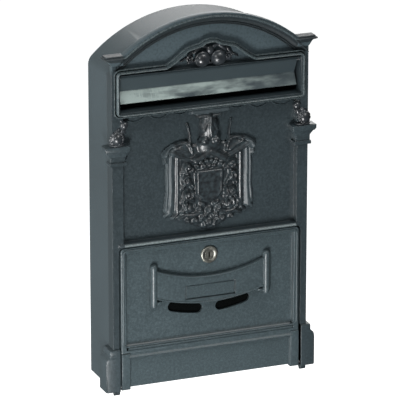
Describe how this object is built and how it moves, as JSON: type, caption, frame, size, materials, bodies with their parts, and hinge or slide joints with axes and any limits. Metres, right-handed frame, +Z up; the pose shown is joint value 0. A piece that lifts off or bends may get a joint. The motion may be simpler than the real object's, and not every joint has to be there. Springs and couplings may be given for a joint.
{
  "type": "wall mounted mailbox",
  "caption": "Arched wall mailbox in cast metal with a hinged letter flap, a lockable drop-down door, viewing windows and four wall screw holes.",
  "frame": {"origin": "centre of the four wall holes, on the back face that lies on the wall", "axes": "+X to the right as seen from the front, +Y into the wall, +Z up"},
  "size_m": [0.2428, 0.0785, 0.4154],
  "materials": {
    "painted_casting": "satin dark grey powder coat",
    "painted_flap": "satin grey paint, rubbed on its lower leaf",
    "painted_door": "satin dark grey powder coat",
    "glossy_casting": "gloss near-black paint on a fine casting",
    "zinc_steel": "zinc plated",
    "nickel": "nickel plated",
    "clear_plastic": "clear"
  },
  "bodies": {
    "casing": {"rear_casing": "painted_casting", "front_surround": "painted_casting", "surround_screws": "zinc_steel", "slot_ornament": "glossy_casting", "crest_relief": "glossy_casting", "crest_rivets": "zinc_steel", "left_finial": "glossy_casting", "right_finial": "glossy_casting", "flap_rod": "zinc_steel", "left_hinge_pin": "zinc_steel", "right_hinge_pin": "zinc_steel"},
    "flap": {"slot_flap": "painted_flap"},
    "door": {"door_panel": "painted_door", "name_banner": "painted_door", "name_plate": "painted_door", "banner_rivets": "zinc_steel", "window_pane": "clear_plastic", "pane_screws": "zinc_steel", "lock_housing": "nickel", "lock_nut": "zinc_steel"},
    "lock": {"lock_plug": "nickel", "lock_cam": "zinc_steel", "cam_washer": "zinc_steel", "cam_screw": "zinc_steel"}
  },
  "joints": [
    {"name": "flap_hinge", "type": "hinge", "parent": "casing", "child": "flap", "pos_m": [0, -0.064, 0.157], "axis": [-1, 0, 0], "range_deg": [0, 75]},
    {"name": "door_hinge", "type": "hinge", "parent": "casing", "child": "door", "pos_m": [0, -0.069, -0.1865], "axis": [1, 0, 0], "range_deg": [0, 95]},
    {"name": "lock_turn", "type": "hinge", "parent": "door", "child": "lock", "pos_m": [0, -0.0705, -0.05], "axis": [0, -1, 0], "range_deg": [0, 90]}
  ]
}
